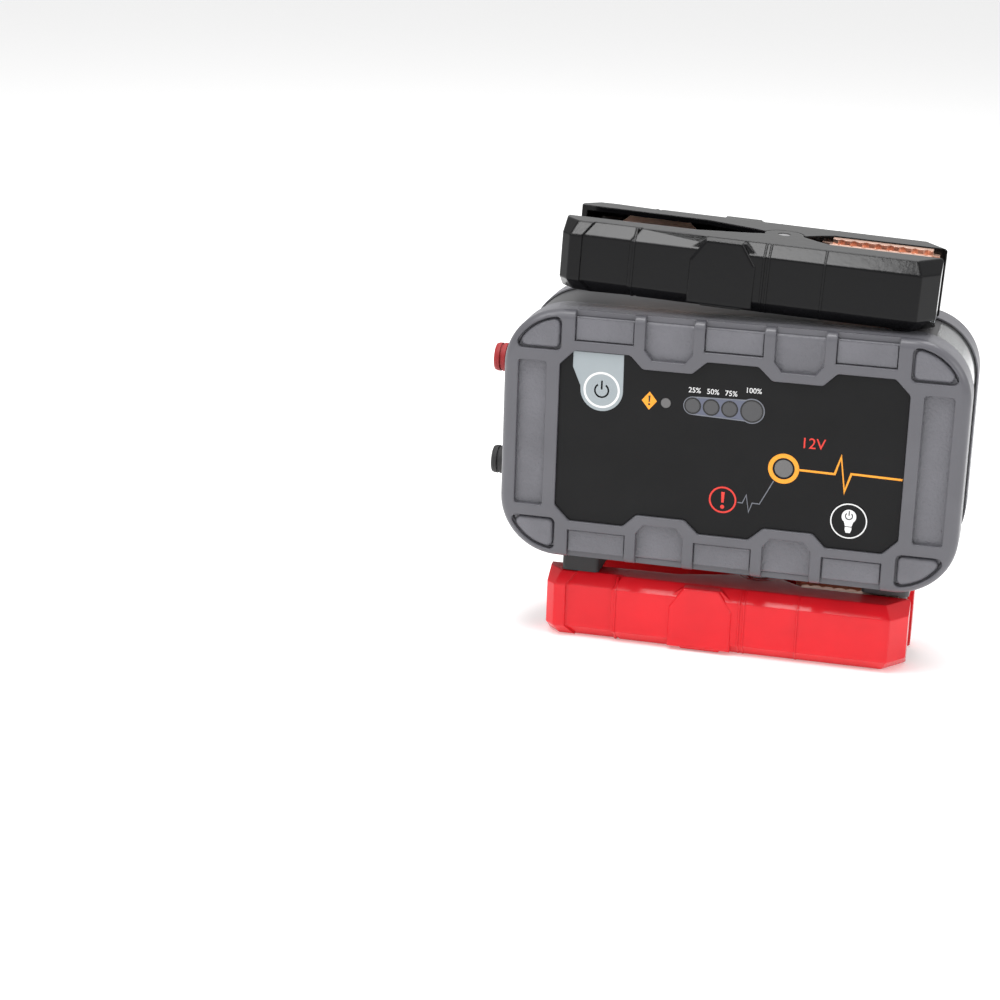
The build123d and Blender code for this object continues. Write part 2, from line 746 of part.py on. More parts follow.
def half_outline(inset=0.0, open_side=False):
    """Outline of the front half seen from above, its outer side moved in by inset."""
    tip, end, side = clamp_len_jaw - inset, inset - clamp_len_grip, inset - clamp_w
    outer = [(tip, side + 9.0), (tip - 7.0, side), (end + 4.0, side - 1.0), (end, side + 3.0)]
    mouth = [(end, -grip_mouth), (-34.0, 1.0 - grip_mouth), (-13.0, -5.0), (-hub_r, -2.6), (0.0, -0.8),
             (hub_r, -0.8), (14.0, -6.0), (20.0, -jaw_mouth), (tip, -jaw_mouth)]
    with BuildLine() as line:
        Polyline(*outer, *([(end, 1.0), (tip, 1.0)] if open_side else mouth), close=True)
    make_face(line.edges())


def half_block(inset, z_inset, bevel, open_side=False):
    """Solid between the end faces, bevelled along its outer side and tip; the handle end is blunt."""
    with BuildPart() as block:
        with BuildSketch(Plane.XY.offset(z_inset)):
            half_outline(inset, open_side)
        extrude(amount=clamp_h - 2 * z_inset)
        reach = clamp_h / 2 - z_inset - 0.1
        outside = block.edges().filter_by(
            lambda e: abs(e.center().Z - clamp_h / 2) > reach and e.center().Y < -15.0
            and e.center().X > inset - clamp_len_grip + 1.0)
        chamfer(outside, bevel)
    return block.part


def mirrored_profile(points, y, depth, mode):
    """Front-view profile mirrored about mid height, extruded outwards from y by depth."""
    with BuildSketch(Plane(origin=(0, y, clamp_h / 2), x_dir=(1, 0, 0), z_dir=(0, -1, 0))) as profile:
        with BuildLine():
            Polyline(*points, *[(x, -z) for x, z in reversed(points)], close=True)
        make_face()
    extrude(profile.sketch, amount=depth, mode=mode)


mid_z = clamp_h / 2 - clamp_chamfer
lean = 4.5
recess_shape = [(recess_from, mid_z), (recess_from + lean, mid_z + clamp_chamfer + 1),
                (recess_to + lean, mid_z + clamp_chamfer + 1), (recess_to, mid_z)]
arch_shape = [(arch_from, mid_z), (arch_from + 6.0, mid_z + clamp_chamfer - 0.6),
              (arch_to - 5.0, mid_z + clamp_chamfer - 0.6), (arch_to, mid_z)]
arch_y = clamp_chamfer + 1.0 - clamp_w

with BuildPart() as recess_zone:
    add(half_block(recess_t, 0.0, clamp_chamfer))
    mirrored_profile(recess_shape, -grip_mouth, beyond, Mode.INTERSECT)

with BuildPart() as half_body:
    add(half_block(0.0, 0.0, clamp_chamfer))
    mirrored_profile(recess_shape, -grip_mouth, beyond, Mode.SUBTRACT)
    add(recess_zone.part)
    mirrored_profile(arch_shape, arch_y, clamp_chamfer + 0.6, Mode.ADD)
    add(half_block(side_wall, clamp_wall, clamp_chamfer - 1.0, open_side=True), mode=Mode.SUBTRACT)


def discs(levels, thickness, radius, mode):
    """Round plates about the pivot at the given heights."""
    for low in levels:
        with BuildSketch(Plane.XY.offset(low)) as disc:
            Circle(radius)
        extrude(disc.sketch, amount=thickness, mode=mode)


outer_levels = (0.0, clamp_h - lug_t)
inner_levels = (lug_t + hub_gap, clamp_h - 2 * lug_t - hub_gap)

with BuildPart() as outer_half:
    add(half_body.part)
    discs(outer_levels, lug_t, hub_r, Mode.ADD)
    discs((0.0,), clamp_h, pivot_pin_r + 0.05, Mode.SUBTRACT)

web_y = hub_r + hub_gap + 0.8
with BuildPart() as inner_half:
    add(half_body.part)
    mirror(about=Plane.XZ, mode=Mode.REPLACE)
    for low in (-0.1, clamp_h - lug_t - 0.1):
        discs((low,), lug_t + 0.2, hub_r + hub_gap, Mode.SUBTRACT)
    discs(inner_levels, lug_t, hub_r - 1.0, Mode.ADD)
    for low in inner_levels:
        with BuildSketch(Plane.XY.offset(low)):
            with Locations((0, web_y / 2 + 1.5)):
                Rectangle(2 * hub_r - 2.0, web_y + 3.0)
        extrude(amount=lug_t)
    for low in (clamp_wall - 0.2, clamp_h - clamp_wall - hub_gap - 0.2):
        with BuildSketch(Plane.XY.offset(low)):
            with Locations((0, web_y + 1.5)):
                Rectangle(2 * hub_r - 2.0, 3.0)
        extrude(amount=hub_gap + 0.4)
    discs((0.0,), clamp_h, pivot_pin_r + 0.05, Mode.SUBTRACT)
    with BuildSketch(Plane(origin=(0, 0, clamp_h / 2), x_dir=(0, 1, 0), z_dir=(-1, 0, 0))):
        with Locations((lug_y, 0)):
            Circle(lead_r)
    extrude(amount=clamp_len_grip + 1, mode=Mode.SUBTRACT)

with BuildPart() as jaw:
    jaw_to = clamp_len_jaw - side_wall - 0.2
    jaw_low = clamp_wall + 0.15
    jaw_back = -jaw_gap - jaw_depth
    with BuildSketch(Plane.XY.offset(jaw_low)):
        with BuildLine():
            Polyline((jaw_from, jaw_back), (jaw_from, -7.0), (21.0, -jaw_gap), (jaw_to, -jaw_gap),
                     (jaw_to, -8.0), (jaw_to - jaw_slant, jaw_back), close=True)
        make_face()
    extrude(amount=clamp_h - 2 * jaw_low)
    with BuildSketch(Plane.XY.offset(jaw_low + jaw_t)):
        with BuildLine():
            Polyline((0.0, jaw_back + jaw_t), (jaw_to - jaw_slant - 1.0, jaw_back + jaw_t),
                     (jaw_to - jaw_t, -8.5), (jaw_to - jaw_t, 0.0), (0.0, 0.0), close=True)
        make_face()
    extrude(amount=clamp_h - 2 * jaw_low - 2 * jaw_t, mode=Mode.SUBTRACT)
    with BuildSketch():
        with Locations(*[(24.0 + tooth_pitch * n, -jaw_gap) for n in range(8)]):
            Triangle(a=tooth_pitch * 0.8, b=tooth_deep * 1.5, c=tooth_deep * 1.5, rotation=180,
                     align=(Align.CENTER, Align.MAX))
    extrude(amount=clamp_h, mode=Mode.SUBTRACT)
    with BuildSketch(Plane(origin=(jaw_to - 3.0, 0, clamp_h / 2), x_dir=(0, 0, 1), z_dir=(1, 0, 0))):
        with Locations(*[(tooth_pitch * n, jaw_gap) for n in (-1.5, -0.5, 0.5, 1.5)]):
            Triangle(a=tooth_pitch * 0.8, b=tooth_deep * 1.5, c=tooth_deep * 1.5,
                     align=(Align.CENTER, Align.MIN))
    extrude(amount=5.0, mode=Mode.SUBTRACT)

# The lug's plate fills the height of the handle; the lead's braid is brazed to its outer end.
plate_shape = [(-72.0, 7.5), (-68.0, 11.0), (-42.0, 11.0), (-34.0, 4.0)]
with BuildPart() as lead_lug:
    with BuildSketch(Plane(origin=(-56.0, lug_y, clamp_h / 2), x_dir=(0, 1, 0), z_dir=(-1, 0, 0))):
        Rectangle(1.2, 15.0)
    extrude(amount=16.0)
    with BuildSketch(Plane(origin=(0, lug_y + 0.6, clamp_h / 2), x_dir=(1, 0, 0), z_dir=(0, -1, 0))):
        with BuildLine():
            Polyline(*plate_shape, *[(x, -z) for x, z in reversed(plate_shape)], close=True)
        make_face()
    extrude(amount=1.2)
    with BuildSketch(Plane(origin=(-72.0, lug_y, clamp_h / 2), x_dir=(0, 1, 0), z_dir=(-1, 0, 0))):
        Circle(lead_r + 0.8)
    extrude(amount=10.5)
    with BuildSketch(Plane(origin=(-73.5, lug_y, clamp_h / 2), x_dir=(0, 1, 0), z_dir=(-1, 0, 0))):
        Circle(lead_r - 0.4)
    extrude(amount=12.0, mode=Mode.SUBTRACT)
    with BuildSketch(Plane(origin=(0, 0, clamp_h / 2 - 4.0), x_dir=(1, 0, 0), z_dir=(0, 0, 1))):
        with BuildLine():
            Polyline((-58.0, lug_y), (8.0, lug_y), (16.0, jaw_gap + jaw_depth + 0.8),
                     (52.0, jaw_gap + jaw_depth + 0.8))
        trace(line_width=1.2)
    extrude(amount=8.0)

with BuildPart() as pivot_pin:
    with BuildSketch(Plane.XY.offset(-seat)):
        Circle(pivot_pin_r)
    extrude(amount=clamp_h - seat)
    with BuildSketch(Plane.XY.offset(-seat - 1.0)):
        Circle(hub_r - 3.0)
    extrude(amount=1.0)
    chamfer(pivot_pin.faces().sort_by(Axis.Z)[0].edges(), 0.4)

with BuildPart() as spring:
    spring_z = clamp_h / 2 - spring_turns * 1.9 / 2
    with BuildLine(Plane.XY.offset(spring_z)) as coil_path:
        Helix(1.9, 1.9 * spring_turns, spring_r)
    with BuildSketch(Plane(origin=coil_path.line @ 0, z_dir=coil_path.line % 0)):
        Circle(spring_wire)
    sweep(path=coil_path.line)


def save_clamp(colour, place, front, rear):
    """Write one clamp; front and rear say which of the two halves faces the front."""
    with BuildPart() as mirrored_jaw:
        add(jaw.part)
        mirror(about=Plane.XZ, mode=Mode.REPLACE)
    save(outer_half, f"{colour}_clamp_{front}_handle", place)
    save(inner_half, f"{colour}_clamp_{rear}_handle", place)
    save(jaw, f"{colour}_clamp_{front}_jaw", place)
    save(mirrored_jaw, f"{colour}_clamp_{rear}_jaw", place)
    save(lead_lug, f"{colour}_clamp_lead_lug", place)
    save(pivot_pin, f"{colour}_clamp_pivot_pin", place)
    save(spring, f"{colour}_clamp_spring", place)


rise = clamp_len_jaw * Plane.XY.rotated((0, clamp_tilt, 0)).x_dir.Z
save_clamp("black", Location((pivot_x, 0, top_z + upper_gap - rise), (0, clamp_tilt, 0)), "front", "rear")
save_clamp("red", Location((pivot_x, 0, bottom_z - lower_gap), (180, 0, 0)), "rear", "front")
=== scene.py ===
import json
import math

import bmesh
import bpy
from mathutils import Matrix, Vector


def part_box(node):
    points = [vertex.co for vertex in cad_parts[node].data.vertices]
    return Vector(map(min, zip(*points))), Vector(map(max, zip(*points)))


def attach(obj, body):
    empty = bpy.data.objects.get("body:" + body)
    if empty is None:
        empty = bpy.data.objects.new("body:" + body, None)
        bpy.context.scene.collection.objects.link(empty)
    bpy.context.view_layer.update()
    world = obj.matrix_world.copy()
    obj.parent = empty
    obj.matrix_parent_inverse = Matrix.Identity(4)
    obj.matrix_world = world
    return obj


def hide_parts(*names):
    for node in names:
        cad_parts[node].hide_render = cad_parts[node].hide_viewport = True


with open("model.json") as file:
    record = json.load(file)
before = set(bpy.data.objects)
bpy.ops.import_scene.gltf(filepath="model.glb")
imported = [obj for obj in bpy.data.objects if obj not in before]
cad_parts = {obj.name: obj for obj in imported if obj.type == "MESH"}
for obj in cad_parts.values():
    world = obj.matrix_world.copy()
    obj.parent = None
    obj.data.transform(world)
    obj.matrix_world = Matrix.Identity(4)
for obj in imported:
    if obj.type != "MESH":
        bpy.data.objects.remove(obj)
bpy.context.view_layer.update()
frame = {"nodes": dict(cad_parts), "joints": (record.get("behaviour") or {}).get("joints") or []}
mm = 0.001

# ---- Camera, floor and light
# A long lens a metre away, a little above the pack and to the right of it, aimed past its left
# side. The pack stands on a plain pale floor under a bright even sky and five soft lamps.
label_low, label_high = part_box("label_panel")
middle = (label_low + label_high) / 2
middle.y = 0.0

camera_from_middle = Vector((128.7, -936.5, 268.5)) * mm
camera_turn, camera_drop, camera_roll = 13.94, 17.83, 1.73
camera_data = bpy.data.cameras.new("camera")
camera_data.sensor_width = 36.0
camera_data.lens = 83.0
camera = bpy.data.objects.new("camera", camera_data)
camera.matrix_world = (Matrix.Translation(middle + camera_from_middle)
                       @ Matrix.Rotation(math.radians(camera_turn), 4, "Z")
                       @ Matrix.Rotation(math.radians(90.0 - camera_drop), 4, "X")
                       @ Matrix.Rotation(math.radians(camera_roll), 4, "Z"))
bpy.context.scene.collection.objects.link(camera)
bpy.context.scene.camera = camera

ground = bmesh.new()
bmesh.ops.create_grid(ground, x_segments=1, y_segments=1, size=7.0)
floor_mesh = bpy.data.meshes.new("floor")
ground.to_mesh(floor_mesh)
ground.free()
floor = bpy.data.objects.new("floor", floor_mesh)
bpy.context.scene.collection.objects.link(floor)
paper = bpy.data.materials.new("paper")
paper.use_nodes = True
sheet = paper.node_tree.nodes["Principled BSDF"]
sheet.inputs["Base Color"].default_value = (0.93, 0.93, 0.93, 1)
sheet.inputs["Roughness"].default_value = 0.85
sheet.inputs["Specular IOR Level"].default_value = 0.1
sheet.inputs["Emission Color"].default_value = (1, 1, 1, 1)
sheet.inputs["Emission Strength"].default_value = 0.20
floor_mesh.materials.append(paper)

for name, place, size, power in (
        ("key", (-0.75, -0.55, 1.1), 0.5, 5.0),
        ("fill", (1.25, -0.35, 0.75), 0.6, 3.5),
        ("top", (0.1, 0.55, 1.2), 0.8, 9.0),
        ("overhead", (-0.12, -0.30, 1.15), 0.3, 4.0),
        ("front", (-0.35, -1.5, 1.2), 0.4, 1.5)):
    aim = (middle - Vector(place)).to_track_quat("-Z", "Y")
    lamp_data = bpy.data.lights.new(name, "AREA")
    lamp_data.shape = "SQUARE"
    lamp_data.size = size
    lamp_data.energy = power
    lamp = bpy.data.objects.new(name, lamp_data)
    lamp.matrix_world = Matrix.Translation(place) @ aim.to_matrix().to_4x4()
    bpy.context.scene.collection.objects.link(lamp)

world = bpy.data.worlds.new("world")
world.use_nodes = True
world.node_tree.nodes["Background"].inputs["Color"].default_value = (1.0, 1.0, 1.0, 1)
world.node_tree.nodes["Background"].inputs["Strength"].default_value = 0.70
bpy.context.scene.world = world
bpy.context.scene.view_settings.view_transform = "Standard"

# ---- Housing shells and bumper frames
# Two grey polymer half shells, each with a smoother bumper frame moulded over its edge. The bay
# floors keep the tool's coarse spark-eroded grain; the frame is satin with softened edges.


def moulded(name, colour, rough, grain=2600.0, depth=0.02, mottle=0.06, edge=0.35, **sockets):
    """Moulded plastic: grain height and edge rounding in millimetres."""
    made = bpy.data.materials.new(name)
    made.use_nodes = True
    tree = made.node_tree
    shader = tree.nodes["Principled BSDF"]
    shader.inputs["Roughness"].default_value = rough
    for socket, value in sockets.items():
        shader.inputs[socket.replace("_", " ")].default_value = value
    place = tree.nodes.new("ShaderNodeTexCoord")
    cloud = tree.nodes.new("ShaderNodeTexNoise")
    cloud.inputs["Scale"].default_value = 55.0
    cloud.inputs["Detail"].default_value = 4.0
    tint = tree.nodes.new("ShaderNodeValToRGB")
    tint.color_ramp.elements[0].position = 0.3
    tint.color_ramp.elements[1].position = 0.7
    tint.color_ramp.elements[0].color = [c * (1.0 - mottle) for c in colour] + [1.0]
    tint.color_ramp.elements[1].color = [min(1.0, c * (1.0 + mottle)) for c in colour] + [1.0]
    speck = tree.nodes.new("ShaderNodeTexNoise")
    speck.inputs["Scale"].default_value = grain
    speck.inputs["Detail"].default_value = 2.0
    bump = tree.nodes.new("ShaderNodeBump")
    bump.inputs["Distance"].default_value = depth * mm
    soften = tree.nodes.new("ShaderNodeBevel")
    soften.samples = 4
    soften.inputs["Radius"].default_value = edge * mm
    tree.links.new(place.outputs["Object"], cloud.inputs["Vector"])
    tree.links.new(cloud.outputs["Fac"], tint.inputs["Fac"])
    tree.links.new(tint.outputs["Color"], shader.inputs["Base Color"])
    tree.links.new(place.outputs["Object"], speck.inputs["Vector"])
    tree.links.new(speck.outputs["Fac"], bump.inputs["Height"])
    tree.links.new(soften.outputs["Normal"], bump.inputs["Normal"])
    tree.links.new(bump.outputs["Normal"], shader.inputs["Normal"])
    return made


def cover_with(material, *names):
    """Give whole CAD pieces one finish."""
    for name in names:
        data = frame["nodes"][name].data
        data.materials.clear()
        data.materials.append(material)


frame_grey = moulded("frame grey", (0.100, 0.099, 0.112), 0.34, grain=1500.0, depth=0.008, edge=0.7,
                     Coat_Weight=0.12, Coat_Roughness=0.3)
cover_with(frame_grey, "front_bumper_frame", "rear_bumper_frame")

bay_grey = moulded("bay grey", (0.135, 0.134, 0.150), 0.38, grain=800.0, depth=0.36, mottle=0.12,
                   edge=0.5)
cover_with(bay_grey, "front_shell", "rear_shell", "rear_plate")

band_grey = moulded("band grey", (0.035, 0.035, 0.038), 0.4, depth=0.02)
cover_with(band_grey, "middle_band")
seal_black = moulded("seal black", (0.012, 0.012, 0.012), 0.7, depth=0.02)
cover_with(seal_black, "case_seals")

# ---- Label
# A printed film on a moulded panel, sunk below the rails. The marks are opaque inks a few
# hundredths of a millimetre thick, so each is a thin piece of its own that stands on the film.
film_black = moulded("film black", (0.0085, 0.0085, 0.009), 0.45, grain=900.0, depth=0.012,
                     mottle=0.1, Specular_IOR_Level=0.16)
cover_with(film_black, "label_panel")
film_y = label_low.y
ink_white = moulded("ink white", (0.86, 0.86, 0.86), 0.45, depth=0.004, mottle=0.02)
ink_orange = moulded("ink orange", (0.95, 0.36, 0.016), 0.42, depth=0.004, mottle=0.03)
ink_red = moulded("ink red", (0.78, 0.035, 0.022), 0.42, depth=0.004, mottle=0.03)
ink_grey = moulded("ink grey", (0.17, 0.18, 0.21), 0.45, depth=0.004, mottle=0.03)
ink_black = moulded("ink black", (0.01, 0.01, 0.01), 0.42, depth=0.004, mottle=0.03)
ink_pill = moulded("ink lavender", (0.105, 0.115, 0.165), 0.42, depth=0.004, mottle=0.03)
ink_smoke = moulded("ink smoke", (0.062, 0.062, 0.066), 0.3, depth=0.004, mottle=0.05)
ink_t = 0.04 * mm
sharpest_mitre = 0.35


def printed(name, drawn, ink, level=1, body="housing", face=film_y):
    """Keep a drawn mark that lies in X and Z, its back on the film; level stacks inks."""
    bmesh.ops.recalc_face_normals(drawn, faces=drawn.faces)
    data = bpy.data.meshes.new(name)
    drawn.to_mesh(data)
    drawn.free()
    data.transform(Matrix.Translation((middle.x, face - level * ink_t, middle.z)))
    data.materials.append(ink)
    mark = bpy.data.objects.new(name, data)
    bpy.context.scene.collection.objects.link(mark)
    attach(mark, body)
    return mark


def outline(drawn, points, thick=ink_t):
    """Fill a flat outline given in millimetres and give it the ink's thickness."""
    corners = [drawn.verts.new((x * mm, 0.0, z * mm)) for x, z in points]
    face = drawn.faces.new(corners)
    raised = bmesh.ops.extrude_face_region(drawn, geom=[face])
    bmesh.ops.translate(drawn, vec=(0.0, thick, 0.0),
                        verts=[v for v in raised["geom"] if isinstance(v, bmesh.types.BMVert)])


def ring(drawn, x, z, inner, outer, turn=360.0, begin=0.0, thick=ink_t):
    """A printed ring or arc about a centre in millimetres, begun from straight up."""
    section = []
    for radius, y in ((inner, 0.0), (outer, 0.0), (outer, thick), (inner, thick)):
        section.append(drawn.verts.new((0.0, y, radius * mm)))
    loop = [drawn.edges.new((section[n], section[n - 1])) for n in range(4)]
    bmesh.ops.rotate(drawn, verts=section, cent=(0, 0, 0),
                     matrix=Matrix.Rotation(math.radians(begin), 3, "Y"))
    bmesh.ops.translate(drawn, verts=section, vec=(x * mm, 0.0, z * mm))
    whole = turn == 360.0
    bmesh.ops.spin(drawn, geom=section + loop, cent=(x * mm, 0.0, z * mm), axis=(0.0, 1.0, 0.0),
                   angle=math.radians(turn), steps=max(8, int(turn / 6)), use_merge=whole)
    if not whole:
        bmesh.ops.holes_fill(drawn, edges=[e for e in drawn.edges if e.is_boundary])


def stroke(drawn, points, width):
    """A printed line of even width through points in millimetres, mitred at its corners."""
    left, right = [], []
    for n, (x, z) in enumerate(points):
        here = Vector((x, z))
        before = (here - Vector(points[n - 1])).normalized() if n else None
        after = (Vector(points[n + 1]) - here).normalized() if n < len(points) - 1 else None
        along = ((before or after) + (after or before)).normalized()
        across = Vector((-along.y, along.x))
        square = Vector((-(before or after).y, (before or after).x))
        reach = width / 2 / max(sharpest_mitre, abs(across.dot(square)))
        left.append(here + across * reach)
        right.append(here - across * reach)
    for n in range(len(points) - 1):
        outline(drawn, [left[n], left[n + 1], right[n + 1], right[n]])


lamp_row_z = 18.0
small_x, small_r = -15.7, 3.9
large_x, large_r = 8.8, 5.3
pill_rim = 0.55


def pill_outline(inset):
    """The rounded bar round the four charge lamps, drawn in by an inset in millimetres."""
    edge = []
    for x, radius, begin, end in ((small_x, small_r, 180, 361), (large_x, large_r, -30, 211)):
        edge += [(x + (radius - inset) * math.sin(math.radians(a)),
                  lamp_row_z + (radius - inset) * math.cos(math.radians(a)))
                 for a in range(begin, end, 12)]
    return edge


pill_edge, pill_fill = bmesh.new(), bmesh.new()
outline(pill_edge, pill_outline(0.0))
printed("battery_pill_edge", pill_edge, ink_grey)
outline(pill_fill, pill_outline(pill_rim))
printed("battery_pill_fill", pill_fill, ink_pill, level=2)
lamp_windows, lamp_rings = bmesh.new(), bmesh.new()
for x, r in ((small_x, 2.9), (-8.0, 2.9), (-0.4, 2.9), (large_x, 4.2)):
    ring(lamp_windows, x, lamp_row_z, 0.01, r)
    ring(lamp_rings, x, lamp_row_z, r + 0.02, r + 0.62)
printed("lamp_windows", lamp_windows, ink_smoke, level=3)
printed("lamp_rings", lamp_rings, ink_black, level=3)

level_tall, volts_tall = 3.1, 6.4
for text, x, height, tall, ink in (
        ("25%", -15.2, 23.6, level_tall, ink_white),
        ("50%", -7.6, 23.6, level_tall, ink_white),
        ("75%", -0.1, 23.6, level_tall, ink_white),
        ("100%", 9.0, 25.6, level_tall, ink_white),
        ("12V", 34.6, 4.6, volts_tall, ink_red)):
    letters = bpy.data.curves.new(text, "FONT")
    letters.body = text
    letters.size = tall * mm
    letters.offset = 0.02 * mm
    letters.align_x = "CENTER"
    letters.extrude = ink_t / 2
    scratch = bpy.data.objects.new(text, letters)
    flat = bpy.data.meshes.new_from_object(scratch)
    bpy.data.objects.remove(scratch)
    spot = (middle.x + x * mm, film_y - ink_t / 2, middle.z + height * mm)
    flat.transform(Matrix.Translation(spot)
                   @ Matrix.Rotation(math.radians(90.0), 4, "X"))
    flat.materials.clear()
    flat.materials.append(ink)
    number = bpy.data.objects.new("level_" + text.rstrip("%"), flat)
    bpy.context.scene.collection.objects.link(number)
    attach(number, "housing")

diamond = bmesh.new()
outline(diamond, [(-33.8, 22.3), (-30.6, 18.4), (-33.8, 14.5), (-37.0, 18.4)])
printed("warning_diamond", diamond, ink_orange)
bang = bmesh.new()
outline(bang, [(-34.25, 20.6), (-33.35, 20.6), (-33.55, 17.8), (-34.05, 17.8)])
ring(bang, -33.8, 16.9, 0.01, 0.45)
printed("warning_mark", bang, ink_black, level=2)

pulse = bmesh.new()
ring(pulse, 23.3, -5.0, 4.55, 6.4)
stroke(pulse, [(29.6, -4.9), (44.2, -5.1), (46.4, 2.4), (48.6, -12.2), (50.9, -4.4),
               (71.6, -4.8)], 0.95)
printed("orange_pulse", pulse, ink_orange)
trace = bmesh.new()
stroke(trace, [(5.2, -21.4), (7.2, -21.5), (8.7, -17.9), (10.0, -25.1), (11.3, -21.1), (14.3, -21.2),
               (19.6, -10.6)], 0.42)
printed("grey_trace", trace, ink_grey)
red_ring = bmesh.new()
ring(red_ring, -1.0, -21.0, 5.0, 5.75)
printed("override_ring", red_ring, ink_red)
light_ring = bmesh.new()
ring(light_ring, 51.3, -24.5, 7.0, 7.55)
printed("light_ring", light_ring, ink_white)

tab = bmesh.new()
tab_edge = [(-66.5, 36.6), (-45.2, 36.6), (-45.0, 22.0)]
tab_edge += [(-54.0 + 9.0 * math.cos(math.radians(a)), 21.0 - 9.0 * math.sin(math.radians(a)))
             for a in range(0, 181, 10)]
tab_edge += [(-63.0, 22.0), (-66.5, 30.0)]
outline(tab, tab_edge)
ink_tab = moulded("ink silver", (0.33, 0.37, 0.39), 0.36, depth=0.004, mottle=0.03)
printed("power_tab", tab, ink_tab)
power_ring = bmesh.new()
ring(power_ring, -54.0, 21.0, 6.75, 7.7)
printed("power_ring", power_ring, ink_white, level=2)

# ---- Buttons and lamps
# Soft-touch caps that travel through the label, printed with their marks, and clear light
# pipes with the yellow chips behind them.
cover_with(film_black, "override_button", "light_button")
cap_grey = moulded("button grey", (0.05, 0.052, 0.056), 0.42, depth=0.02)
cover_with(cap_grey, "power_button")

bang_red = bmesh.new()
outline(bang_red, [(-1.75, -17.6), (-0.25, -17.6), (-0.5, -22.2), (-1.5, -22.2)])
ring(bang_red, -1.0, -24.0, 0.01, 0.85)
override_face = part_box("override_button")[0].y
printed("override_mark", bang_red, ink_red, body="override_button", face=override_face)

bulb = bmesh.new()
bulb_edge = [(51.3 + 3.0 * math.sin(math.radians(a)), -22.6 + 3.0 * math.cos(math.radians(a)))
             for a in range(-140, 141, 10)]
bulb_edge += [(52.7, -26.6), (52.7, -28.2), (52.2, -29.6), (50.4, -29.6), (49.9, -28.2),
              (49.9, -26.6)]
outline(bulb, bulb_edge)
light_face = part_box("light_button")[0].y
printed("light_mark", bulb, ink_white, body="light_button", face=light_face)
stand = bmesh.new()
ring(stand, 51.3, -22.4, 1.2, 1.65, turn=280.0, begin=40.0)
outline(stand, [(51.08, -20.1), (51.52, -20.1), (51.52, -22.2), (51.08, -22.2)])
outline(stand, [(49.7, -27.1), (52.9, -27.1), (52.9, -26.8), (49.7, -26.8)])
printed("light_mark_switch", stand, ink_black, level=2, body="light_button", face=light_face)

stand_by = bmesh.new()
ring(stand_by, -54.0, 20.8, 2.5, 3.2, turn=290.0, begin=35.0)
outline(stand_by, [(-54.35, 25.0), (-53.65, 25.0), (-53.65, 21.2), (-54.35, 21.2)])
power_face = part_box("power_button")[0].y
printed("power_mark", stand_by, ink_white, body="power_button", face=power_face)

pipe = moulded("light pipe", (0.115, 0.112, 0.112), 0.3, depth=0.004, mottle=0.05,
               Coat_Weight=0.4, Coat_Roughness=0.2)
cover_with(pipe, "indicator_lamps")

# ---- Lamp end
# A clear polycarbonate lens wraps round the right end of the band, with a vacuum-plated
# reflector and two yellow emitters behind it.
clear = bpy.data.materials.new("lens clear")
clear.use_nodes = True
shader = clear.node_tree.nodes["Principled BSDF"]
shader.inputs["Base Color"].default_value = (0.93, 0.95, 0.96, 1)
shader.inputs["Roughness"].default_value = 0.06
shader.inputs["IOR"].default_value = 1.45
shader.inputs["Transmission Weight"].default_value = 0.92
flow = clear.node_tree.nodes.new("ShaderNodeTexNoise")
flow.inputs["Scale"].default_value = 160.0
wave = clear.node_tree.nodes.new("ShaderNodeBump")
wave.inputs["Distance"].default_value = 0.03 * mm
here = clear.node_tree.nodes.new("ShaderNodeTexCoord")
clear.node_tree.links.new(here.outputs["Object"], flow.inputs["Vector"])
clear.node_tree.links.new(flow.outputs["Fac"], wave.inputs["Height"])
clear.node_tree.links.new(wave.outputs["Normal"], shader.inputs["Normal"])
cover_with(clear, "light_lens")
lens_low, lens_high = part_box("light_lens")
lens_bend_r = 24.0 * mm
prism_ring_r, prism_r, prism_short = 20.7, 0.75 * mm, 3.0 * mm
prism_count, prism_first, prism_step = 31, 1.5, 2.9
bend = Vector((lens_high.x - lens_bend_r, 0.0, lens_high.z - lens_bend_r))
prisms = bmesh.new()
for sign in (1.0, -1.0):
    for n in range(prism_count):
        lie = math.radians(prism_first + prism_step * n)
        out = Vector((math.cos(lie), 0.0, sign * math.sin(lie)))
        bend_at = Vector((bend.x, 0.0, middle.z + sign * (bend.z - middle.z)))
        spot = bend_at + out * prism_ring_r * mm
        bmesh.ops.create_cone(prisms, cap_ends=True, segments=3, radius1=prism_r, radius2=prism_r,
                              depth=lens_high.y - lens_low.y - prism_short,
                              matrix=Matrix.Translation(spot)
                              @ Matrix.Rotation(-sign * lie, 4, "Y")
                              @ Matrix.Rotation(math.radians(90.0), 4, "X"))
prism_mesh = bpy.data.meshes.new("lens_prisms")
prisms.to_mesh(prism_mesh)
prisms.free()
prism_mesh.materials.append(clear)
lens_prisms = bpy.data.objects.new("lens_prisms", prism_mesh)
bpy.context.scene.collection.objects.link(lens_prisms)
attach(lens_prisms, "housing")
plated = moulded("plated", (0.78, 0.79, 0.80), 0.16, grain=700.0, depth=0.02, mottle=0.03,
                 Metallic=1.0)
cover_with(plated, "light_reflector")
phosphor = moulded("phosphor", (0.85, 0.62, 0.12), 0.35, depth=0.01)
cover_with(phosphor, "light_emitters", "indicator_leds")

